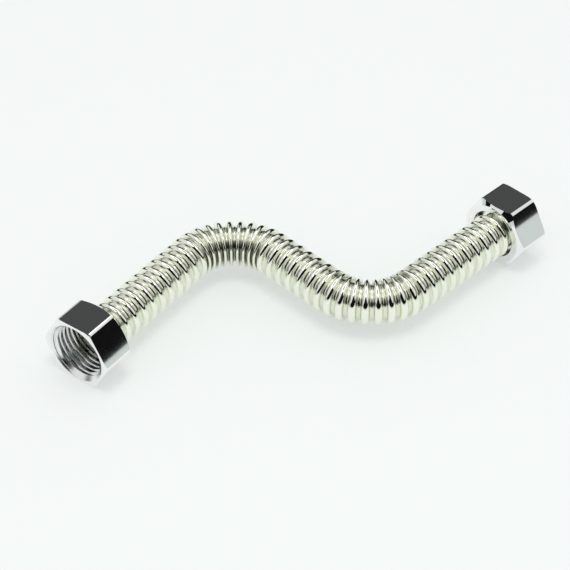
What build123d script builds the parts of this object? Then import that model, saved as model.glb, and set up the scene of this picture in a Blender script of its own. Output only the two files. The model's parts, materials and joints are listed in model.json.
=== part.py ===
"""A short stainless bellows hose with a captive union nut at each end.

The tube is one thin wall with ring-shaped folds. It runs straight out of the
inlet nut, bends to the right, runs on, bends back to the left, and runs straight
into the outlet nut. Each nut turns freely on the tube, behind the collar that is
rolled at the tube's end. Millimetres, +Z up. It lies on its nuts' flats, with the
middle of its plan at the origin and the inlet nut's axis along X.
"""

import os
from math import hypot, radians, tan

from build123d import *

# ------------------------------------------------------------------ dimensions
# Union nut, G 1/2 pipe thread
across_flats = 24.0
nut_length = 13.0
edge_radius = 0.9  # soft edge between two flats
thread_minor_radius = 9.3155
mouth_radius = 11.05  # wide end of the 45 degree lead-in
mouth_land_radius = 12.9  # where the corner chamfer starts on the mouth's face
back_land_radius = 11.2  # and on the back face
corner_chamfer_angle = 30.0
bore_depth = 11.0  # mouth to shoulder
relief_radius = 10.6
relief_length = 1.5
hole_break = 0.3  # broken edge of the hole in the shoulder

# Bellows tube
crest_radius = 8.1  # outside, on a crest
valley_radius = 6.2  # outside, in a valley
wall = 0.3
crest_roundness = 1.25  # outside radius of a crest in section, on a straight run
pitch = 4.6  # crest to crest on a straight run
bend_crest_roundness = 1.0
bend_pitch = 3.38  # crest to crest along the middle of a bend
first_bend_turn = 99.0  # degrees, in all
second_bend_turn = 89.8
inlet_folds = 10
first_bend_folds = 10
middle_folds = 6
second_bend_folds = 9
outlet_folds = 9
neck_length = 1.0  # plain tube between the collar and the first valley

# Collar rolled at each end of the tube
collar_radius = 9.15
collar_thickness = 0.9
collar_corner = 0.2

# Clearances
hole_play = 0.65  # nut's hole over the crests, radial
crest_clearance = 0.3  # what is left of it below the tube, which hangs low in the hole
collar_play = 0.3  # collar to the nut's shoulder

# ---------------------------------------------------------------------- derived
hole_radius = crest_radius + hole_play
tube_drop = hole_play - crest_clearance
fold_depth = crest_radius - valley_radius
lead_in_depth = mouth_radius - thread_minor_radius
collar_depth = bore_depth - collar_play - collar_thickness
first_valley = collar_thickness + neck_length
first_crest = first_valley + pitch / 2
half_fold = bend_pitch / 2
first_fold_turn = first_bend_turn / first_bend_folds
second_fold_turn = second_bend_turn / second_bend_folds


# ------------------------------------------------------------- fold's section
# A crest is an arc and a valley is an arc, and the two touch on the flank. Both
# are drawn at an inset from the outside, so that the wall is even.
def flank(half_pitch, roundness, inset):
    """Return the radius where a crest meets its valley, and how far along the tube."""
    valley_roundness = (half_pitch**2 + fold_depth**2) / (2 * fold_depth) - roundness
    crest_centre = crest_radius - roundness
    rise = valley_radius + valley_roundness - crest_centre
    share = (roundness - inset) / hypot(half_pitch, rise)
    return crest_centre + share * rise, share * half_pitch


def draw_straight_folds(start, folds, inset):
    """Draw the side of a straight run, from the crest at start over some folds."""
    radius, step = flank(pitch / 2, crest_roundness, inset)
    crest, valley = crest_radius - inset, valley_radius - inset
    end = start + folds * pitch
    TangentArc((crest, start), (radius, start + step), tangent=(0, 1))
    for fold in range(folds):
        here = start + fold * pitch
        if fold:
            ThreePointArc((radius, here - step), (crest, here), (radius, here + step))
        ThreePointArc((radius, here + step), (valley, here + pitch / 2), (radius, here + pitch - step))
    TangentArc((crest, end), (radius, end - step), tangent=(0, -1))


def straight_run(folds):
    """Return a run along Z, from the crest at Z = 0 over some folds to another crest."""
    with BuildPart() as run:
        with BuildSketch(Plane.XZ):
            with BuildLine():
                for inset in (0, wall):
                    draw_straight_folds(0, folds, inset)
                for end in (0, folds * pitch):
                    Line((crest_radius, end), (crest_radius - wall, end))
            make_face()
        revolve(axis=Axis.Z)
    return run.part


# ------------------------------------------------------------------ tube's end
# The collar stands on Z = 0 and the tube rises from it to its first crest.
with BuildPart() as tube_end:
    with BuildSketch(Plane.XZ):
        with BuildLine():
            for inset in (0, wall):
                radius, step = flank(pitch / 2, crest_roundness, inset)
                crest, valley = crest_radius - inset, valley_radius - inset
                Line((valley, collar_thickness), (valley, first_valley))
                TangentArc((valley, first_valley), (radius, first_crest - step), tangent=(0, 1))
                TangentArc((crest, first_crest), (radius, first_crest - step), tangent=(0, -1))
            Line((crest_radius, first_crest), (crest_radius - wall, first_crest))
            Polyline(
                (valley_radius, collar_thickness),
                (collar_radius - collar_corner, collar_thickness),
                (collar_radius, collar_thickness - collar_corner),
                (collar_radius, collar_corner),
                (collar_radius - collar_corner, 0),
                (valley_radius - wall, 0),
                (valley_radius - wall, collar_thickness),
            )
        make_face()
    revolve(axis=Axis.Z)

# --------------------------------------------------------------- fold of a bend
# It rises from a crest at Z = 0 and is mirrored in the plane that halves the turn,
# which leans so that the folds stand open outside the bend and close inside it.
# The bend's centre is on the -X side.
def bend_fold(turn):
    """Return one fold of a bend, which turns the tube by turn degrees."""
    fold_plane = Plane(origin=(0, 0, half_fold)).rotated((0, -turn / 2, 0))
    reach = half_fold + crest_radius * tan(radians(turn))
    with BuildPart() as fold:
        with BuildSketch(Plane.XZ):
            with BuildLine():
                for inset in (0, wall):
                    radius, step = flank(half_fold, bend_crest_roundness, inset)
                    crest, valley = crest_radius - inset, valley_radius - inset
                    TangentArc((crest, 0), (radius, step), tangent=(0, 1))
                    TangentArc((valley, half_fold), (radius, step), tangent=(0, -1))
                    Line((valley, half_fold), (valley, reach))
                Line((crest_radius, 0), (crest_radius - wall, 0))
                Line((valley_radius, reach), (valley_radius - wall, reach))
            make_face()
        revolve(axis=Axis.Z)
        split(bisect_by=fold_plane, keep=Keep.BOTTOM)
        mirror(about=fold_plane)
    return fold.part

# ------------------------------------------------------------------------ nut
# The mouth is at Z = 0, opening to -Z, and two flats face +Y and -Y.
beyond_corners = across_flats
chamfer_slope = tan(radians(corner_chamfer_angle))

with BuildPart() as union_nut:
    with BuildSketch():
        RegularPolygon(across_flats / 2, 6, major_radius=False)
    extrude(amount=nut_length)
    fillet(union_nut.edges().filter_by(Axis.Z), edge_radius)
    for land_radius, face, inward in ((mouth_land_radius, 0, 1), (back_land_radius, nut_length, -1)):
        chamfer_depth = (beyond_corners - land_radius) * chamfer_slope
        with BuildSketch(Plane.XZ):
            with BuildLine():
                Polyline(
                    (land_radius, face),
                    (beyond_corners, face),
                    (beyond_corners, face + inward * chamfer_depth),
                    close=True,
                )
            make_face()
        revolve(axis=Axis.Z, mode=Mode.SUBTRACT)
    with BuildSketch(Plane.XZ):
        with BuildLine():
            Polyline(
                (0, 0),
                (mouth_radius, 0),
                (thread_minor_radius, lead_in_depth),
                (thread_minor_radius, bore_depth - relief_length),
                (relief_radius, bore_depth - relief_length),
                (relief_radius, bore_depth),
                (hole_radius, bore_depth),
                (hole_radius, nut_length - hole_break),
                (hole_radius + hole_break, nut_length),
                (0, nut_length),
                close=True,
            )
        make_face()
    revolve(axis=Axis.Z, mode=Mode.SUBTRACT)


# ---------------------------------------------------------------------- layout
# A station is a plane across the tube: its Z points along the tube, its Y is up,
# and its X is to the left of the way along.
def raised(station, height):
    """Return a station moved straight up."""
    return Plane(station.origin + Vector(0, 0, height), x_dir=station.x_dir, z_dir=station.z_dir)


def turned_back(station):
    """Return a station that looks the other way along the tube."""
    return Plane(station.origin, x_dir=-station.x_dir, z_dir=-station.z_dir)


def mirrored(station):
    """Return a station with its X on the other hand, for a bend to the left."""
    return Plane(station.origin, x_dir=-station.x_dir, z_dir=station.z_dir)


def bend(start, folds, turn):
    """Return the stations of a bend's crests, the last of which ends the bend."""
    one_fold = Location((0, 0, half_fold), (0, -turn, 0)) * Location((0, 0, half_fold))
    stations = [start]
    for _ in range(folds):
        stations.append(Plane(stations[-1].location * one_fold))
    return stations


def lay_out(inlet_mouth):
    """Return every station of the hose, by name, from that of the inlet's mouth."""
    inlet_collar = raised(inlet_mouth.offset(collar_depth), -tube_drop)
    inlet_start = inlet_collar.offset(first_crest)
    first_bend = bend(inlet_start.offset(inlet_folds * pitch), first_bend_folds, first_fold_turn)
    middle_start = first_bend[-1]
    second_start = mirrored(middle_start.offset(middle_folds * pitch))
    second_bend = bend(second_start, second_bend_folds, second_fold_turn)
    outlet_start = mirrored(second_bend[-1])
    outlet_collar = turned_back(outlet_start.offset(outlet_folds * pitch + first_crest))
    return {
        "inlet_mouth": inlet_mouth,
        "inlet_collar": inlet_collar,
        "inlet_start": inlet_start,
        "first_bend": first_bend[:-1],
        "middle_start": middle_start,
        "second_bend": second_bend[:-1],
        "outlet_start": outlet_start,
        "outlet_collar": outlet_collar,
        "outlet_mouth": raised(outlet_collar.offset(-collar_depth), tube_drop),
    }


# The nuts reach furthest each way, so the middle of their box is the plan's middle.
axis_height = across_flats / 2
first_try = lay_out(Plane((0, 0, axis_height), x_dir=(0, 1, 0), z_dir=(1, 0, 0)))
with BuildPart() as nuts_in_place:
    with Locations(first_try["inlet_mouth"], first_try["outlet_mouth"]):
        add(union_nut.part)
middle = nuts_in_place.part.bounding_box().center()
hose = lay_out(Plane((-middle.X, -middle.Y, axis_height), x_dir=(0, 1, 0), z_dir=(1, 0, 0)))

# ---------------------------------------------------------------------- pieces
with BuildPart() as bellows_tube:
    with Locations(hose["inlet_collar"], hose["outlet_collar"]):
        add(tube_end.part)
    for run, folds in (("inlet", inlet_folds), ("middle", middle_folds), ("outlet", outlet_folds)):
        with Locations(hose[run + "_start"]):
            add(straight_run(folds))
    for run, turn in (("first_bend", first_fold_turn), ("second_bend", second_fold_turn)):
        with Locations(*hose[run]):
            add(bend_fold(turn))
bellows_tube.part.label = "bellows_tube"

with BuildPart(hose["inlet_mouth"]) as inlet_union_nut:
    add(union_nut.part)
inlet_union_nut.part.label = "inlet_union_nut"

with BuildPart(hose["outlet_mouth"]) as outlet_union_nut:
    add(union_nut.part)
outlet_union_nut.part.label = "outlet_union_nut"

# ---------------------------------------------------------------------- output
os.makedirs("parts", exist_ok=True)
export_step(bellows_tube.part, "parts/bellows_tube.step")
export_step(inlet_union_nut.part, "parts/inlet_union_nut.step")
export_step(outlet_union_nut.part, "parts/outlet_union_nut.step")
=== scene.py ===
"""Dresses the corrugated bellows hose: its bent tube, its two union nuts and the studio."""

import json
import logging
from dataclasses import dataclass, field
from enum import Enum
from math import atan2, cos, hypot, pi, radians, sin, tan

import bmesh
import bpy
from mathutils import Matrix, Vector


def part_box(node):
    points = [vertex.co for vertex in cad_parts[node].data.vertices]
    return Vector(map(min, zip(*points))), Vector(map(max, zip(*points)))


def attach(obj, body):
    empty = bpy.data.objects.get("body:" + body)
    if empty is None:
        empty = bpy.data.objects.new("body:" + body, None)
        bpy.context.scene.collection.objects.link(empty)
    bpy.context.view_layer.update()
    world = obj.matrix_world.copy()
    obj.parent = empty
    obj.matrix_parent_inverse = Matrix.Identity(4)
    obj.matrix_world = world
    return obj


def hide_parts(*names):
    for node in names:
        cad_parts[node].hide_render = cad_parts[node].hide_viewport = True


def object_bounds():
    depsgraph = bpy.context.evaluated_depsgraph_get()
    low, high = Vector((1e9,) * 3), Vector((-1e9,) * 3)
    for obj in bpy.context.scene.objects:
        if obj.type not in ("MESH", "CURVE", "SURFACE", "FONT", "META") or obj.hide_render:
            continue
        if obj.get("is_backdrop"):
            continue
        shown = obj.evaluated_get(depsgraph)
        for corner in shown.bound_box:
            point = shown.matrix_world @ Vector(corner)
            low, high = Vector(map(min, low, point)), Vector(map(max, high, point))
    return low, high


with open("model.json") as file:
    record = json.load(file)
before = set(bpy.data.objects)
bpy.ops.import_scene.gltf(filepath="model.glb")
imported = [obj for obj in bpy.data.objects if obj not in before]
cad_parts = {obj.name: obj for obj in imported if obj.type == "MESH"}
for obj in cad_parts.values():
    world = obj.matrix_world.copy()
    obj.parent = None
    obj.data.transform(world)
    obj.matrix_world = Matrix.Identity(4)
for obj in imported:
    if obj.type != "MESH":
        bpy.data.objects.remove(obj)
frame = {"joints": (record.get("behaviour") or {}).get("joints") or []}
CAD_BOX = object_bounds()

LOG = logging.getLogger("bellows_hose")
MM = 0.001

Socket = bpy.types.NodeSocket
Colour = tuple[float, float, float]
Points = list[tuple[float, float]]

WHITE: Colour = (1.0, 1.0, 1.0)


# ---------------------------------------------------------------------------- node helpers
class Maths(Enum):
    """What is made of two values."""

    TOTAL = "ADD"
    PRODUCT = "MULTIPLY"
    LARGER = "MAXIMUM"


class Blend(Enum):
    """How a second colour is laid on a first."""

    TINT = "MULTIPLY"
    COVER = "MIX"


@dataclass(frozen=True)
class Mottle:
    """A cloudy pattern: how fine it is, and the values of it that count as its two ends."""

    scale: float
    detail: float
    low: float = 0.0
    high: float = 1.0


class Graph:
    """A node tree, with short calls to add and join its nodes."""

    def __init__(self, tree: bpy.types.NodeTree) -> None:
        """Start on a tree, emptied."""
        self.tree = tree
        self.tree.nodes.clear()

    def add(self, kind: str, **settings: object) -> bpy.types.Node:
        """Add a node.

        Args:
            kind: the node's type.
            settings: its properties, or its input values by socket name with _ for a space.

        Returns:
            The new node.
        """
        node = self.tree.nodes.new(kind)
        for name, value in settings.items():
            if hasattr(node, name):
                setattr(node, name, value)
            else:
                node.inputs[name.replace("_", " ")].default_value = value
        return node

    def feed(self, value: Socket | float | tuple[float, ...], end: Socket) -> None:
        """Give an input its value.

        Args:
            value: a socket to link, or a number or a colour to set.
            end: the input.
        """
        if isinstance(value, Socket):
            self.tree.links.new(value, end)
        else:
            end.default_value = value

    def attribute(self, name: str) -> Socket:
        """Return the socket of a value that the mesh carries."""
        return self.add("ShaderNodeAttribute", attribute_name=name).outputs["Fac"]

    def maths(self, kind: Maths, one: Socket | float, other: Socket | float) -> Socket:
        """Make one value of two.

        Args:
            kind: what is made of them.
            one: the first value.
            other: the second value.

        Returns:
            The result's socket.
        """
        node = self.add("ShaderNodeMath", operation=kind.value)
        self.feed(one, node.inputs[0])
        self.feed(other, node.inputs[1])
        return node.outputs["Value"]

    def mix(
        self, kind: Blend, share: Socket | float, under: Socket, over: Socket | Colour
    ) -> Socket:
        """Lay one colour on another.

        Args:
            kind: how it is laid.
            share: how much of it shows.
            under: the colour below.
            over: the colour on top.

        Returns:
            The colour socket.
        """
        node = self.add("ShaderNodeMixRGB", blend_type=kind.value)
        self.feed(share, node.inputs["Fac"])
        self.feed(under, node.inputs["Color1"])
        self.feed(over if isinstance(over, Socket) else (*over, 1.0), node.inputs["Color2"])
        return node.outputs["Color"]

    def ramp(
        self, value: Socket, low: float, at_low: Colour, high: float, at_high: Colour
    ) -> Socket:
        """Turn a value into a colour.

        Args:
            value: the socket that gives the value.
            low: the value up to which the first colour holds.
            at_low: the first colour.
            high: the value from which the second colour holds.
            at_high: the second colour.

        Returns:
            The colour socket.
        """
        node = self.add("ShaderNodeValToRGB")
        stops = ((low, at_low), (high, at_high))
        for element, (place, colour) in zip(node.color_ramp.elements, stops):
            element.position = place
            element.color = (*colour, 1.0)
        self.feed(value, node.inputs["Fac"])
        return node.outputs["Color"]

    def span(self, value: Socket, low: float, high: float, at_low: float, at_high: float) -> Socket:
        """Map a value from one range to another.

        Args:
            value: the socket that gives the value.
            low: the value that becomes at_low.
            high: the value that becomes at_high.
            at_low: the result at low.
            at_high: the result at high.

        Returns:
            The mapped socket.
        """
        node = self.add(
            "ShaderNodeMapRange", From_Min=low, From_Max=high, To_Min=at_low, To_Max=at_high
        )
        self.feed(value, node.inputs["Value"])
        return node.outputs["Result"]

    def noise(self, where: Socket, pattern: Mottle) -> Socket:
        """Lay a cloudy pattern over a position.

        Args:
            where: the socket that gives the position.
            pattern: how fine it is.

        Returns:
            The pattern's value socket.
        """
        node = self.add("ShaderNodeTexNoise", Scale=pattern.scale, Detail=pattern.detail)
        self.feed(where, node.inputs["Vector"])
        return node.outputs["Fac"]

    def seen(self) -> Socket:
        """Tell what the camera sees, mirrored or through glass too, from all other light.

        Returns:
            The socket that is 1 for what it sees and 0 for the rest.
        """
        path = self.add("ShaderNodeLightPath").outputs
        direct = self.maths(Maths.LARGER, path["Is Camera Ray"], path["Is Glossy Ray"])
        return self.maths(Maths.LARGER, direct, path["Is Transmission Ray"])


class MaterialGraph(Graph):
    """A material's node tree, which starts as one Principled shader."""

    def __init__(self, name: str) -> None:
        """Start the material.

        Args:
            name: its name.
        """
        self.material = bpy.data.materials.new(name)
        self.material.use_nodes = True
        super().__init__(self.material.node_tree)
        self.surface = self.add("ShaderNodeOutputMaterial").inputs["Surface"]
        self.shader = self.add("ShaderNodeBsdfPrincipled")
        self.feed(self.shader.outputs["BSDF"], self.surface)

    def give(self, name: str, value: Socket | float | tuple[float, ...]) -> None:
        """Give one of the shader's inputs its value."""
        self.feed(value, self.shader.inputs[name])

    def position(self) -> Socket:
        """Return the socket of the place on the piece."""
        return self.add("ShaderNodeTexCoord").outputs["Object"]

    def bump(self, height: Socket, strength: float, distance: float) -> None:
        """Give the surface a relief, on top of any that it has.

        Args:
            height: the socket that gives the height.
            strength: how much of it shows.
            distance: what a height of 1 is, in metres.
        """
        node = self.add("ShaderNodeBump", Strength=strength, Distance=distance)
        for link in self.shader.inputs["Normal"].links:
            self.feed(link.from_socket, node.inputs["Normal"])
        self.feed(height, node.inputs["Height"])
        self.give("Normal", node.outputs["Normal"])


# -------------------------------------------------------------------------------- finishes
@dataclass(frozen=True)
class Rings:
    """Fine uneven rings round an axis, left by forming or turning."""

    per_mm: float
    detail: float
    relief: float  # metres

    def cut(self, graph: MaterialGraph, along: Socket) -> None:
        """Cut the rings into a surface.

        Args:
            graph: the surface's material.
            along: the socket that gives the distance along the axis, in millimetres.
        """
        noise = graph.add("ShaderNodeTexNoise", noise_dimensions="1D", Scale=1.0)
        graph.feed(self.detail, noise.inputs["Detail"])
        graph.feed(graph.maths(Maths.PRODUCT, along, self.per_mm), noise.inputs["W"])
        graph.bump(noise.outputs["Fac"], 1.0, self.relief)


@dataclass(frozen=True)
class FormedSteel:
    """Thin stainless sheet, formed into folds: bright, with fine rings that its forming left.

    It reads three values of the tube: along, in millimetres; height, from 0 in a valley to 1 on a
    crest; and closed, the share by which a bend closes a fold. Height and closed set where shade is
    painted into the colour.
    """

    name: str = "formed_stainless_steel"
    colour: Colour = (0.92, 0.94, 0.835)
    # painted shade: the valleys are darker than the crests
    valley_shade_colour: Colour = (0.81, 0.83, 0.715)
    valley_height: float = 0.1  # up to here a fold has its valley's painted shade
    crest_height: float = 0.7  # and from here its crest's
    cloud: Mottle = Mottle(90.0, 4.0, 0.3, 0.7)
    cloud_colour: Colour = (0.95, 0.95, 0.94)
    # painted shade: the folds that a bend closes are darkened towards their valleys
    closed_fold_shade_colour: Colour = (0.30, 0.30, 0.26)
    open_share: float = 0.17  # a fold this much closed gets no painted shade yet
    closed_share: float = 0.34  # and one this much closed gets the full painted shade
    closed_height: float = 0.35  # up to here a closed fold gets the full painted shade
    lit_height: float = 0.95  # and from here it gets none
    roughness: float = 0.06
    valley_roughness: float = 0.20
    rough_height: float = 0.25  # up to here a fold is as rough as its valley
    smooth_height: float = 0.85  # and from here as smooth as its crest
    wear: Mottle = Mottle(400.0, 3.0, 0.3, 0.7)
    roughness_spread: float = 0.02
    rings: Rings = Rings(5.0, 3.0, 0.004 * MM)

    def base_colour(self, graph: MaterialGraph, position: Socket, height: Socket) -> Socket:
        """Work out the colour, with painted shade in the valleys and in the folds that a bend
        closes.

        Args:
            graph: the material.
            position: the socket of the place.
            height: the socket of the height on a fold.

        Returns:
            The colour socket.
        """
        # painted shade: the colour darkens from crest to valley
        shaded_base = graph.ramp(
            height, self.valley_height, self.valley_shade_colour, self.crest_height, self.colour
        )
        cloud = graph.ramp(
            graph.noise(position, self.cloud),
            self.cloud.low, self.cloud_colour, self.cloud.high, WHITE,
        )
        # painted shade, strongest deep in the folds that a bend closes
        fold_shade_share = graph.maths(
            Maths.PRODUCT,
            graph.span(graph.attribute("closed"), self.open_share, self.closed_share, 0.0, 1.0),
            graph.span(height, self.closed_height, self.lit_height, 1.0, 0.0),
        )
        clouded = graph.mix(Blend.TINT, 1.0, shaded_base, cloud)
        return graph.mix(Blend.COVER, fold_shade_share, clouded, self.closed_fold_shade_colour)

    def material(self) -> bpy.types.Material:
        """Make the material.

        Returns:
            The material.
        """
        graph = MaterialGraph(self.name)
        position = graph.position()
        height = graph.attribute("height")
        graph.give("Base Color", self.base_colour(graph, position, height))
        graph.give("Metallic", 1.0)
        worn = graph.span(
            graph.noise(position, self.wear),
            self.wear.low, self.wear.high, -self.roughness_spread, self.roughness_spread,
        )
        rough = graph.span(
            height, self.rough_height, self.smooth_height, self.valley_roughness, self.roughness
        )
        graph.give("Roughness", graph.maths(Maths.TOTAL, rough, worn))
        self.rings.cut(graph, graph.attribute("along"))
        return graph.material


@dataclass(frozen=True)
class PlatedSteel:
    """Bright plated steel, as on turned union nuts, with faint turning rings and handling marks.

    It reads three values of the nut: bore and lead_in, 1 in the bore and on the cone at its
    mouth; and turned, the depth in the bore in millimetres.
    """

    name: str = "bright_plated_steel"
    colour: Colour = (0.93, 0.94, 0.94)
    # painted shade: the bore is darker than the outside
    bore_shade_colour: Colour = (0.72, 0.73, 0.73)
    cloud: Mottle = Mottle(120.0, 3.0, 0.35, 0.65)
    cloud_colour: Colour = (0.96, 0.96, 0.96)
    roughness: float = 0.035
    bore_roughness: float = 0.12
    lead_in_roughness: float = 0.26
    marks: Mottle = Mottle(350.0, 2.0)
    marks_strength: float = 0.6
    marks_relief: float = 0.0008 * MM
    rings: Rings = Rings(1.6, 2.0, 0.012 * MM)

    def material(self) -> bpy.types.Material:
        """Make the material.

        Returns:
            The material.
        """
        graph = MaterialGraph(self.name)
        position = graph.position()
        bore = graph.attribute("bore")
        lead_in = graph.attribute("lead_in")
        cloud = graph.ramp(
            graph.noise(position, self.cloud),
            self.cloud.low, self.cloud_colour, self.cloud.high, WHITE,
        )
        # painted shade in the bore
        shaded_base = graph.ramp(bore, 0.0, self.colour, 1.0, self.bore_shade_colour)
        graph.give("Base Color", graph.mix(Blend.TINT, 1.0, shaded_base, cloud))
        graph.give("Metallic", 1.0)
        rough = graph.maths(
            Maths.LARGER,
            graph.span(bore, 0.0, 1.0, self.roughness, self.bore_roughness),
            graph.span(lead_in, 0.0, 1.0, self.roughness, self.lead_in_roughness),
        )
        graph.give("Roughness", rough)
        graph.bump(graph.noise(position, self.marks), self.marks_strength, self.marks_relief)
        self.rings.cut(graph, graph.attribute("turned"))
        return graph.material


# ---------------------------------------------------------------------------- mesh helpers
def finished(
    bm: bmesh.types.BMesh, name: str, material: bpy.types.Material, sharp: float
) -> bpy.types.Object:
    """Turn a bmesh into a smooth-shaded object of the scene.

    Args:
        bm: the mesh, in its place in metres. It is freed.
        name: the object's name.
        material: its finish.
        sharp: the angle in degrees past which an edge is shaded sharp.

    Returns:
        The new object, at the origin.
    """
    bmesh.ops.recalc_face_normals(bm, faces=bm.faces)
    for face in bm.faces:
        face.smooth = True
    mesh = bpy.data.meshes.new(name)
    bm.to_mesh(mesh)
    bm.free()
    mesh.set_sharp_from_angle(angle=radians(sharp))
    mesh.materials.append(material)
    made = bpy.data.objects.new(name, mesh)
    bpy.context.scene.collection.objects.link(made)
    return made


def extruded(
    bm: bmesh.types.BMesh, rim: list[bmesh.types.BMEdge]
) -> tuple[list[bmesh.types.BMVert], list[bmesh.types.BMEdge]]:
    """Extrude an open rim once.

    Args:
        bm: the mesh.
        rim: the rim's edges.

    Returns:
        The new vertices, still where the old ones are, and the new rim.
    """
    made = bmesh.ops.extrude_edge_only(bm, edges=rim)["geom"]
    verts = [piece for piece in made if isinstance(piece, bmesh.types.BMVert)]
    edges = [piece for piece in made if isinstance(piece, bmesh.types.BMEdge)]
    return verts, [edge for edge in edges if edge.is_boundary]


def set_ring(vert: bmesh.types.BMVert, radius: float, along: float) -> None:
    """Move a vertex to another radius and place on the Z axis, in the same direction."""
    here = hypot(vert.co.x, vert.co.y)
    vert.co = Vector((vert.co.x * radius / here, vert.co.y * radius / here, along))


def bevelled(
    bm: bmesh.types.BMesh, edges: list[bmesh.types.BMEdge], width: float, segments: int
) -> None:
    """Round edges.

    Args:
        bm: the mesh.
        edges: the edges.
        width: how far the rounding reaches from each, along its faces.
        segments: how many faces it has across.
    """
    bmesh.ops.bevel(
        bm, geom=edges, offset=width, offset_type="OFFSET", affect="EDGES",
        segments=segments, profile=0.5, material=-1, clamp_overlap=True,
    )


# -------------------------------------------------------------------------------- the tube
class Side(Enum):
    """Which way a bend turns, seen along the tube: the sign of its turn about the upward axis."""

    LEFT = 1
    RIGHT = -1


@dataclass(frozen=True)
class Section:
    """One fold in section: a crest arc and a valley arc that touch on the flank. Millimetres."""

    half_pitch: float
    roundness: float
    crest_radius: float
    valley_radius: float

    def half(self, inset: float, crest_steps: int, valley_steps: int) -> Points:
        """Return half a fold's side, from the crest's top to the valley's bottom.

        Args:
            inset: how far inside the outer surface the side lies.
            crest_steps: how many steps the crest's arc has.
            valley_steps: how many steps the valley's arc has.

        Returns:
            Points as distance from the crest along the tube, and radius.
        """
        depth = self.crest_radius - self.valley_radius
        valley_roundness = (self.half_pitch**2 + depth**2) / (2 * depth) - self.roundness
        crest_centre = self.crest_radius - self.roundness
        valley_centre = self.valley_radius + valley_roundness
        lean = atan2(valley_centre - crest_centre, self.half_pitch)
        points = []
        for step in range(crest_steps):
            angle = pi / 2 + (lean - pi / 2) * step / crest_steps
            arc = self.roundness - inset
            points.append((arc * cos(angle), crest_centre + arc * sin(angle)))
        for step in range(valley_steps + 1):
            angle = lean + pi + (pi / 2 - lean) * step / valley_steps
            arc = valley_roundness + inset
            points.append((self.half_pitch + arc * cos(angle), valley_centre + arc * sin(angle)))
        return points


@dataclass(frozen=True)
class Run:
    """A stretch of folds of one kind. Degrees."""

    folds: int
    side: Side | None = None
    turn: float = 0.0


@dataclass(frozen=True)
class Station:
    """Where the tube's axis is at one distance along it. Millimetres and radians."""

    place: Vector
    heading: float
    curvature: float


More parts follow.
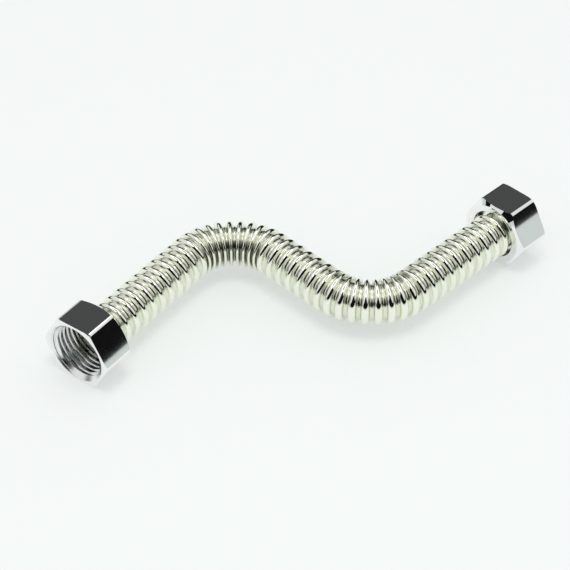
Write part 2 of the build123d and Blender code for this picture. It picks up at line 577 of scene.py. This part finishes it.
@dataclass
class BellowsTube:
    """The corrugated tube with its rolled collars, bent twice in one plane. Millimetres."""

    crest_radius: float = 8.1
    valley_radius: float = 6.2
    wall: float = 0.3
    crest_roundness: float = 1.25
    pitch: float = 4.6
    bend_crest_roundness: float = 1.0
    bend_pitch: float = 3.38
    inlet_folds: int = 10
    first_bend_folds: int = 10
    first_bend_turn: float = 99.0
    middle_folds: int = 6
    second_bend_folds: int = 9
    second_bend_turn: float = 89.8
    outlet_folds: int = 9
    neck_length: float = 1.0
    collar_radius: float = 9.15
    collar_thickness: float = 0.9
    collar_corner: float = 0.2
    around: int = 72
    outer_steps: tuple[int, int] = (5, 4)  # in half a crest and half a valley
    inner_steps: tuple[int, int] = (2, 2)
    merge: float = 1e-4
    sharp: float = 60.0  # degrees
    finish: FormedSteel = field(default_factory=FormedSteel)

    @property
    def runs(self) -> list[Run]:
        """The runs of folds from the inlet to the outlet.

        Returns:
            The runs, in order.
        """
        return [
            Run(self.inlet_folds),
            Run(self.first_bend_folds, Side.RIGHT, self.first_bend_turn),
            Run(self.middle_folds),
            Run(self.second_bend_folds, Side.LEFT, self.second_bend_turn),
            Run(self.outlet_folds),
        ]

    @property
    def first_crest(self) -> float:
        """The distance from the inlet collar's face to the first crest."""
        return self.collar_thickness + self.neck_length + self.pitch / 2

    def bend_radius(self, run: Run) -> float:
        """Return the radius of a bend's centre line."""
        return self.bend_pitch / 2 / tan(radians(run.turn / run.folds / 2))

    def section(self, run: Run) -> Section:
        """Return the section of a run's folds.

        Args:
            run: the run.

        Returns:
            The section of each fold in it.
        """
        if run.side is None:
            half_pitch, roundness = self.pitch / 2, self.crest_roundness
        else:
            half_pitch = self.bend_radius(run) * radians(run.turn / run.folds) / 2
            roundness = self.bend_crest_roundness
        return Section(half_pitch, roundness, self.crest_radius, self.valley_radius)

    def side(self, inset: float, crest_steps: int, valley_steps: int) -> Points:
        """Return one side of the straightened tube's wall, from its first valley to its last.

        Args:
            inset: how far inside the outer surface the side lies.
            crest_steps: steps in half a crest.
            valley_steps: steps in half a valley.

        Returns:
            Points as distance along the tube, and radius.
        """
        straight = self.section(Run(1)).half(inset, crest_steps, valley_steps)
        crest = self.first_crest
        points = [(crest - along, radius) for along, radius in reversed(straight)]
        for run in self.runs:
            half = self.section(run).half(inset, crest_steps, valley_steps)
            length = 2 * half[-1][0]
            for _ in range(run.folds):
                points += [(crest + along, radius) for along, radius in half[1:]]
                crest += length
                points += [(crest - along, radius) for along, radius in reversed(half[:-1])]
        points += [(crest + along, radius) for along, radius in straight[1:]]
        return points

    def wall_section(self) -> Points:
        """Return the closed outline of the straightened tube's wall, its collars included.

        Returns:
            Points as distance along the tube, and radius.
        """
        outer = self.side(0.0, *self.outer_steps)
        inner = self.side(self.wall, *self.inner_steps)
        length = outer[-1][0] + self.neck_length + self.collar_thickness
        corner = self.collar_corner
        collar = [
            (self.collar_thickness, self.valley_radius),
            (self.collar_thickness, self.collar_radius - corner),
            (self.collar_thickness - corner, self.collar_radius),
            (corner, self.collar_radius),
            (0.0, self.collar_radius - corner),
            (0.0, self.valley_radius - self.wall),
        ]
        far_collar = [(length - along, radius) for along, radius in collar]
        return list(reversed(collar)) + outer + far_collar + list(reversed(inner))

    def bent(self, along: float) -> tuple[Vector, float]:
        """Return where the tube's axis is at a distance along it, and its heading.

        Args:
            along: distance from the inlet collar's face.

        Returns:
            The place, from that face, and the heading in radians about the upward axis.
        """
        place, heading = Vector((min(along, self.first_crest), 0.0)), 0.0
        along -= self.first_crest
        for number, run in enumerate(self.runs):
            if along <= 0:
                break
            length = run.folds * 2 * self.section(run).half_pitch
            here = along if number == len(self.runs) - 1 else min(along, length)
            if run.side is None:
                place = place + Vector((cos(heading), sin(heading))) * here
            else:
                reach = run.side.value * self.bend_radius(run)
                centre = place + reach * Vector((-sin(heading), cos(heading)))
                heading += here / reach
                place = centre - reach * Vector((-sin(heading), cos(heading)))
            along -= here
        return place, heading

    def station(self, along: float) -> Station:
        """Return the axis at a distance along it, with its curvature over one fold.

        Args:
            along: distance from the inlet collar's face.

        Returns:
            The station.
        """
        place, heading = self.bent(along)
        turned = self.bent(along + self.pitch / 2)[1] - self.bent(along - self.pitch / 2)[1]
        return Station(place, heading, turned / self.pitch)

    def add_wall(self, bm: bmesh.types.BMesh) -> None:
        """Add the straightened tube, spun round the X axis.

        Args:
            bm: the tube's mesh.
        """
        outline = [bm.verts.new((along, 0.0, radius)) for along, radius in self.wall_section()]
        edges = [bm.edges.new(pair) for pair in zip(outline, outline[1:] + outline[:1])]
        bmesh.ops.spin(
            bm, geom=outline + edges, cent=(0, 0, 0), axis=(1, 0, 0), dvec=(0, 0, 0),
            angle=2 * pi, steps=self.around,
            use_merge=True, use_normal_flip=False, use_duplicate=False,
        )
        bmesh.ops.remove_doubles(bm, verts=bm.verts, dist=self.merge)

    def bend(self, bm: bmesh.types.BMesh, collar_face: Vector) -> None:
        """Bend the tube, put it in its place in metres, and store what its finish reads.

        Args:
            bm: the tube's mesh, straightened.
            collar_face: the middle of the inlet collar's face, in metres.
        """
        layers = bm.verts.layers.float
        along_layer, height_layer, closed_layer = map(layers.new, ("along", "height", "closed"))
        depth = self.crest_radius - self.valley_radius
        stations: dict[float, Station] = {}
        for vert in bm.verts:
            along, across, up = vert.co
            if along not in stations:
                stations[along] = self.station(along)
            here = stations[along]
            vert[along_layer] = along
            vert[height_layer] = (hypot(across, up) - self.valley_radius) / depth
            vert[closed_layer] = max(0.0, across * here.curvature)
            x = here.place.x - across * sin(here.heading)
            y = here.place.y + across * cos(here.heading)
            vert.co = collar_face + MM * Vector((x, y, up))

    def build(self, collar_face: Vector) -> bpy.types.Object:
        """Build the tube.

        Args:
            collar_face: the middle of the inlet collar's face, in metres; the tube leaves it
                along +X.

        Returns:
            The tube.
        """
        bm = bmesh.new()
        self.add_wall(bm)
        self.bend(bm, collar_face)
        tube = finished(bm, "corrugated_tube", self.finish.material(), self.sharp)
        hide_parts("bellows_tube")
        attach(tube, "hose")
        return tube


# -------------------------------------------------------------------------------- the nuts
@dataclass
class PipeThread:
    """An inside pipe thread of Whitworth form, G 1/2. Millimetres and degrees."""

    pitch: float = 1.814
    minor_radius: float = 9.3155
    rounding: float = 0.249
    flank_angle: float = 27.5

    def half_turn_rows(self) -> Points:
        """Return half a thread in section, from its crest to its root.

        Returns:
            Points as distance along the axis, and radius.
        """
        reach = 90.0 - self.flank_angle
        arcs = [radians(reach * share) for share in (0.0, 0.5, 1.0)]
        crest = [
            (self.rounding * sin(a), self.minor_radius + self.rounding * (1 - cos(a))) for a in arcs
        ]
        depth = (self.pitch / 2 - 2 * crest[-1][0]) / tan(radians(self.flank_angle))
        root_radius = 2 * crest[-1][1] - self.minor_radius + depth
        root = [
            (self.pitch / 2 - along, self.minor_radius + root_radius - radius)
            for along, radius in crest
        ]
        return crest + list(reversed(root))

    def rows(self, low: float, high: float) -> Points:
        """Return the thread in section, from a little below low to a little above high.

        Args:
            low: where the thread has to start, along the axis.
            high: where it has to end.

        Returns:
            Points as distance along the axis, and radius.
        """
        half = self.half_turn_rows()
        turn = half[:-1] + [(self.pitch - along, radius) for along, radius in reversed(half[1:])]
        first = int(low // self.pitch) - 1
        last = int(high // self.pitch) + 2
        return [
            (number * self.pitch + along, radius)
            for number in range(first, last) for along, radius in turn
        ]


@dataclass
class UnionNut:
    """A captive union nut. It is made with its mouth on Z = 0, opening to -Z.

    Millimetres and degrees.
    """

    name: str
    node: str
    body: str
    sides: int = 6
    across_flats: float = 24.0
    length: float = 13.0
    edge_radius: float = 1.3
    mouth_radius: float = 11.05
    mouth_land_radius: float = 12.9
    back_land_radius: float = 11.2
    corner_chamfer_angle: float = 30.0
    bore_depth: float = 11.0
    relief_radius: float = 10.6
    relief_length: float = 1.5
    hole_radius: float = 8.75
    hole_break: float = 0.3
    edge_break: float = 0.12
    crown_radius: float = 700.0
    corner_angle: float = 40.0  # the least turn of a corner between two flats
    break_angle: float = 18.0  # the least turn of any other edge that is broken
    corner_segments: int = 6
    break_segments: int = 2
    margin: float = 0.1  # breaks stop this far inside the mouth, and resume this far past the bore
    bore_shade_start: float = 0.1  # the bore's painted shade and rougher finish start this deep, and are full at twice that
    around: int = 144
    bore_merge: float = 1e-4
    merge: float = 1e-3
    sharp: float = 25.0
    normal_weight: int = 100  # the large faces alone set the shading
    thread: PipeThread = field(default_factory=PipeThread)
    finish: PlatedSteel = field(default_factory=PlatedSteel)

    def add_bore(self, bm: bmesh.types.BMesh) -> list[bmesh.types.BMEdge]:
        """Add the threaded bore, its lead-in, its relief and the hole at its bottom.

        Args:
            bm: the nut's mesh.

        Returns:
            The edges round the mouth.
        """
        thread_end = self.bore_depth - self.relief_length
        rows = self.thread.rows(0.0, thread_end)
        column = [bm.verts.new((radius, 0.0, along)) for along, radius in rows]
        edges = [bm.edges.new(pair) for pair in zip(column, column[1:])]
        bmesh.ops.spin(
            bm, geom=column + edges, cent=(0, 0, 0), axis=(0, 0, 1),
            dvec=(0, 0, self.thread.pitch / self.around), angle=2 * pi, steps=self.around,
            use_merge=False, use_normal_flip=False, use_duplicate=False,
        )
        for vert in bm.verts:
            along = vert.co.z
            if along <= 0:
                set_ring(vert, self.mouth_radius, 0.0)
            elif along >= thread_end:
                set_ring(vert, self.relief_radius, thread_end)
            else:
                radius = hypot(vert.co.x, vert.co.y)
                set_ring(vert, max(radius, self.mouth_radius - along), along)
        bmesh.ops.remove_doubles(bm, verts=bm.verts, dist=self.bore_merge)
        bmesh.ops.dissolve_degenerate(bm, edges=bm.edges, dist=self.bore_merge)
        open_edges = [edge for edge in bm.edges if edge.is_boundary]
        mouth = [edge for edge in open_edges if edge.verts[0].co.z < self.thread.pitch]
        rim = [edge for edge in open_edges if edge.verts[0].co.z >= self.thread.pitch]
        for radius, along in (
            (self.relief_radius, self.bore_depth),
            (self.hole_radius, self.bore_depth),
            (self.hole_radius, self.length - self.hole_break),
            (self.hole_radius + self.hole_break, self.length),
        ):
            verts, rim = extruded(bm, rim)
            for vert in verts:
                set_ring(vert, radius, along)
        return mouth

    def flat_radius(self, vert: bmesh.types.BMVert) -> float:
        """Return how far out the outside lies in a vertex's direction, its flats a little crowned.

        Args:
            vert: the vertex.

        Returns:
            The distance from the axis.
        """
        angle = atan2(vert.co.y, vert.co.x) % (2 * pi / self.sides) - pi / self.sides
        flat = self.across_flats / 2
        across = flat * tan(angle)
        return (flat - across * across / (2 * self.crown_radius)) / cos(angle)

    def outside(self, flat: float) -> Points:
        """Return the outside in section: both ends' faces, the corners' cones and the flat.

        Args:
            flat: how far out the outside lies there.

        Returns:
            Points as radius, and distance from the mouth.
        """
        slope = tan(radians(self.corner_chamfer_angle))
        return [
            (min(flat, self.mouth_land_radius), 0.0),
            (flat, slope * max(0.0, flat - self.mouth_land_radius)),
            (flat, self.length - slope * max(0.0, flat - self.back_land_radius)),
            (min(flat, self.back_land_radius), self.length),
            (self.hole_radius + self.hole_break, self.length),
        ]

    def add_outside(self, bm: bmesh.types.BMesh, mouth: list[bmesh.types.BMEdge]) -> None:
        """Add the outside, from the mouth's rim to the hole's.

        Args:
            bm: the nut's mesh.
            mouth: the edges round the bore's mouth.
        """
        rim = mouth
        for ring in range(len(self.outside(self.across_flats / 2))):
            verts, rim = extruded(bm, rim)
            for vert in verts:
                set_ring(vert, *self.outside(self.flat_radius(vert))[ring])

    def round_edges(self, bm: bmesh.types.BMesh) -> None:
        """Round the corners between flats, then break the other sharp edges outside the bore.

        Args:
            bm: the nut's mesh.
        """
        corners = [
            edge for edge in bm.edges
            if len(edge.link_faces) == 2 and edge.calc_length() > self.length / 2
            and edge.calc_face_angle() > radians(self.corner_angle)
        ]
        bevelled(bm, corners, self.edge_radius * tan(pi / self.sides), self.corner_segments)
        breaks = []
        for edge in bm.edges:
            if len(edge.link_faces) != 2 or edge.calc_face_angle() < radians(self.break_angle):
                continue
            nearest = min(hypot(vert.co.x, vert.co.y) for vert in edge.verts)
            depth = min(vert.co.z for vert in edge.verts)
            if nearest > self.mouth_radius - self.margin or depth > self.bore_depth + self.margin:
                breaks.append(edge)
        bevelled(bm, breaks, self.edge_break, self.break_segments)

    def shade(self, bm: bmesh.types.BMesh) -> None:
        """Store what the finish reads: where the bore and its lead-in are, and how deep.

        Args:
            bm: the nut's mesh.
        """
        layers = bm.verts.layers.float
        bore_layer, lead_in_layer, turned_layer = map(layers.new, ("bore", "lead_in", "turned"))
        for vert in bm.verts:
            radius, along = hypot(vert.co.x, vert.co.y), vert.co.z
            inside = radius < self.mouth_radius and along < self.length - self.hole_break
            on_cone = abs(radius + along - self.mouth_radius) < self.edge_break
            deep = (along - self.bore_shade_start) / self.bore_shade_start
            vert[bore_layer] = min(1.0, max(0.0, deep)) if inside and not on_cone else 0.0
            vert[lead_in_layer] = 1.0 if on_cone else 0.0
            vert[turned_layer] = along if inside else 0.0

    def build(self, mouth: Vector, inward: Vector) -> bpy.types.Object:
        """Build the nut.

        Args:
            mouth: the middle of its mouth, in metres.
            inward: the way from its mouth to the hose.

        Returns:
            The nut.
        """
        bm = bmesh.new()
        self.add_outside(bm, self.add_bore(bm))
        bmesh.ops.remove_doubles(bm, verts=bm.verts, dist=self.merge)
        bmesh.ops.dissolve_degenerate(bm, edges=bm.edges, dist=self.merge)
        bmesh.ops.recalc_face_normals(bm, faces=bm.faces)
        self.round_edges(bm)
        self.shade(bm)
        up = Vector((0, 0, 1))
        turn = Matrix((up.cross(inward), up, inward)).transposed().to_4x4()
        place = Matrix.Translation(mouth) @ turn @ Matrix.Scale(MM, 4)
        bmesh.ops.transform(bm, matrix=place, verts=bm.verts)
        nut = finished(bm, self.name, self.finish.material(), self.sharp)
        weights = nut.modifiers.new("flat_faces", "WEIGHTED_NORMAL")
        weights.keep_sharp = True
        weights.weight = self.normal_weight
        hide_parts(self.node)
        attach(nut, self.body)
        return nut


# ------------------------------------------------------------------------------ the studio
@dataclass(frozen=True)
class Card:
    """A patch of a dome, mirrored in bright metal. Degrees; a level of 1 is white."""

    name: str
    bearing: float  # of its middle, from straight away from the camera, to the left
    low: float  # height of its lower edge above the horizon
    high: float
    width: float  # at its lower edge
    top_width: float
    level: float
    lean: float = 0.0  # how much the dome is tilted, up on the camera's side
    colour: Colour = WHITE


@dataclass
class Studio:
    """A pale floor, soft light, and the cards that bright metal mirrors. Metres and degrees."""

    inlet_mouth: Vector
    floor_size: float = 6.0
    floor_gap: float = 0.00002
    floor_colour: Colour = (0.945, 0.98, 0.96)
    floor_roughness: float = 0.9
    floor_glow: Colour = (0.97, 1.0, 0.99)
    floor_glow_share: float = 0.45
    card_distance: float = 1.0
    card_step: float = 0.004  # each card stands this much further out, so that none touch
    card_squares: tuple[int, int] = (48, 12)  # across and up
    card_merge: float = 1e-4
    cards: tuple[Card, ...] = (
        Card("far_table", 0.0, 0.6, 5.4, 360.0, 360.0, 0.68, lean=2.5, colour=(0.93, 1.0, 0.97)),
        Card("low_dark_room", -70.5, 5.4, 17.0, 331.0, 331.0, 0.006, lean=2.5),
        Card("dark_behind_camera", 180.0, 10.0, 70.0, 120.0, 30.0, 0.006),
        Card("dark_behind_right", -26.0, 14.0, 30.0, 96.0, 80.0, 0.02),
        Card("grey_screen", 0.0, 30.0, 54.0, 44.0, 44.0, 0.072, colour=(0.94, 1.0, 0.98)),
        Card("bright_top", 0.0, 60.0, 72.0, 360.0, 360.0, 1.95),
        Card("grey_zenith", 0.0, 72.0, 90.0, 360.0, 360.0, 0.42),
    )
    sharp: float = 60.0
    world_level: float = 0.84
    lamp_place: tuple[float, float, float] = (-0.1, -0.1, 1.2)
    lamp_size: float = 0.5
    lamp_power: float = 4.0  # watts
    camera_from_mouth: tuple[float, float, float] = (-0.325871, -0.324880, 0.4313)
    camera_azimuth: float = 36.29
    camera_pitch: float = 41.43
    camera_roll: float = -0.27
    lens: float = 120.29  # millimetres, as the sensor's width
    sensor: float = 36.0

    def add_floor(self) -> None:
        """Add the floor, which keeps a faint shadow and shows almost white."""
        bm = bmesh.new()
        bmesh.ops.create_grid(bm, x_segments=1, y_segments=1, size=self.floor_size / 2)
        bmesh.ops.translate(bm, verts=bm.verts, vec=(0.0, 0.0, -self.floor_gap))
        graph = MaterialGraph("pale_floor")
        graph.give("Base Color", (*self.floor_colour, 1.0))
        graph.give("Roughness", self.floor_roughness)
        graph.give("Specular IOR Level", 0.0)
        glow = graph.add("ShaderNodeEmission", Color=(*self.floor_glow, 1.0), Strength=1.0)
        mix = graph.add("ShaderNodeMixShader")
        share = graph.span(graph.seen(), 0.0, 1.0, 0.0, self.floor_glow_share)
        graph.feed(share, mix.inputs["Fac"])
        graph.feed(graph.shader.outputs["BSDF"], mix.inputs[1])
        graph.feed(glow.outputs["Emission"], mix.inputs[2])
        graph.feed(mix.outputs["Shader"], graph.surface)
        finished(bm, "floor", graph.material, self.sharp)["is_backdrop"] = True

    def add_card(self, card: Card, distance: float) -> None:
        """Add a card that only bright metal sees, as a patch of a dome round the hose.

        Args:
            card: its place, size and brightness.
            distance: the dome's radius.
        """
        bm = bmesh.new()
        across, upward = self.card_squares
        half = 0.5  # of the unit square that is laid on the dome
        bmesh.ops.create_grid(bm, x_segments=across, y_segments=upward, size=half)
        for vert in bm.verts:
            share = vert.co.y + half
            width = card.width + (card.top_width - card.width) * share
            azimuth = radians(self.camera_azimuth + card.bearing + width * vert.co.x)
            height = radians(card.low + (card.high - card.low) * share)
            direction = cos(height) * cos(azimuth), cos(height) * sin(azimuth), sin(height)
            vert.co = distance * Vector(direction)
        bmesh.ops.remove_doubles(bm, verts=bm.verts, dist=self.card_merge)
        away = Matrix.Rotation(radians(self.camera_azimuth - 90.0), 3, "Z")
        lean = away @ Matrix.Rotation(radians(-card.lean), 3, "X") @ away.inverted()
        bmesh.ops.rotate(bm, verts=bm.verts, cent=(0, 0, 0), matrix=lean)
        graph = MaterialGraph(card.name)
        graph.tree.nodes.remove(graph.shader)
        light = graph.add("ShaderNodeEmission", Color=(*card.colour, 1.0), Strength=card.level)
        graph.feed(light.outputs["Emission"], graph.surface)
        made = finished(bm, card.name, graph.material, self.sharp)
        made.visible_camera = False
        made.visible_diffuse = False
        made.visible_shadow = False
        made.visible_transmission = False
        made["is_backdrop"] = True

    def add_lamp(self) -> None:
        """Add a square soft lamp above the hose, that points at it."""
        lamp = bpy.data.lights.new("top_light", "AREA")
        lamp.size = self.lamp_size
        lamp.energy = self.lamp_power
        stand = bpy.data.objects.new("top_light", lamp)
        stand.location = self.lamp_place
        stand.rotation_euler = (-Vector(self.lamp_place)).to_track_quat("-Z", "Y").to_euler()
        stand.visible_camera = False
        stand.visible_glossy = False
        bpy.context.scene.collection.objects.link(stand)

    def add_world(self) -> None:
        """Add an even surround, white to the eye and in mirrors, and softer on all else."""
        world = bpy.data.worlds.new("surround")
        world.use_nodes = True
        graph = Graph(world.node_tree)
        output = graph.add("ShaderNodeOutputWorld")
        light = graph.add("ShaderNodeBackground")
        strength = graph.span(graph.seen(), 0.0, 1.0, self.world_level, 1.0)
        graph.feed(strength, light.inputs["Strength"])
        graph.feed(light.outputs["Background"], output.inputs["Surface"])
        bpy.context.scene.world = world

    def add_camera(self) -> None:
        """Add the camera."""
        eye = bpy.data.cameras.new("camera")
        eye.lens = self.lens
        eye.sensor_width = self.sensor
        camera = bpy.data.objects.new("camera", eye)
        aim = Matrix.Rotation(radians(self.camera_azimuth - 90.0), 4, "Z")
        aim = aim @ Matrix.Rotation(radians(90.0 - self.camera_pitch), 4, "X")
        aim = aim @ Matrix.Rotation(radians(self.camera_roll), 4, "Z")
        place = self.inlet_mouth + Vector(self.camera_from_mouth)
        camera.matrix_world = Matrix.Translation(place) @ aim
        bpy.context.scene.collection.objects.link(camera)
        bpy.context.scene.camera = camera

    def build(self) -> None:
        """Set the whole studio up."""
        self.add_floor()
        for number, card in enumerate(self.cards):
            self.add_card(card, self.card_distance + number * self.card_step)
        self.add_world()
        self.add_lamp()
        self.add_camera()
        view = bpy.context.scene.view_settings
        view.view_transform = "Standard"


# -------------------------------------------------------------------------------- the hose
def collar_middle(across: float) -> Vector:
    """Return the middle of the inlet collar's face, in metres.

    Args:
        across: the Y of the tube's straight inlet.

    Returns:
        The place, at the near end and half the height of the tube's own box.
    """
    low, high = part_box("bellows_tube")
    return Vector((low[0], across, (low[2] + high[2]) / 2))


def report(piece: bpy.types.Object) -> None:
    """Log a piece's name and how many faces it has."""
    LOG.info("%s: %d faces", piece.name, len(piece.data.polygons))


def main() -> None:
    """Build every piece round the frame."""
    logging.basicConfig(level=logging.INFO, format="%(name)s: %(message)s")
    swivels = {joint["child"]: joint for joint in frame["joints"]}
    nuts = [
        UnionNut("near_union_nut", "inlet_union_nut", "inlet_nut"),
        UnionNut("far_union_nut", "outlet_union_nut", "outlet_nut"),
    ]
    for nut in nuts:
        swivel = swivels[nut.body]
        report(nut.build(Vector(swivel["pos_m"]), Vector(swivel["axis"]).normalized()))
    inlet = Vector(swivels["inlet_nut"]["pos_m"])
    report(BellowsTube().build(collar_middle(inlet.y)))
    Studio(inlet).build()
    for name, box in (("cad", CAD_BOX), ("visual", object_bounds())):
        corners = [[round(value / MM, 2) for value in corner] for corner in box]
        LOG.info("%s box: %s", name, corners)


if __name__ == "__main__":
    main()
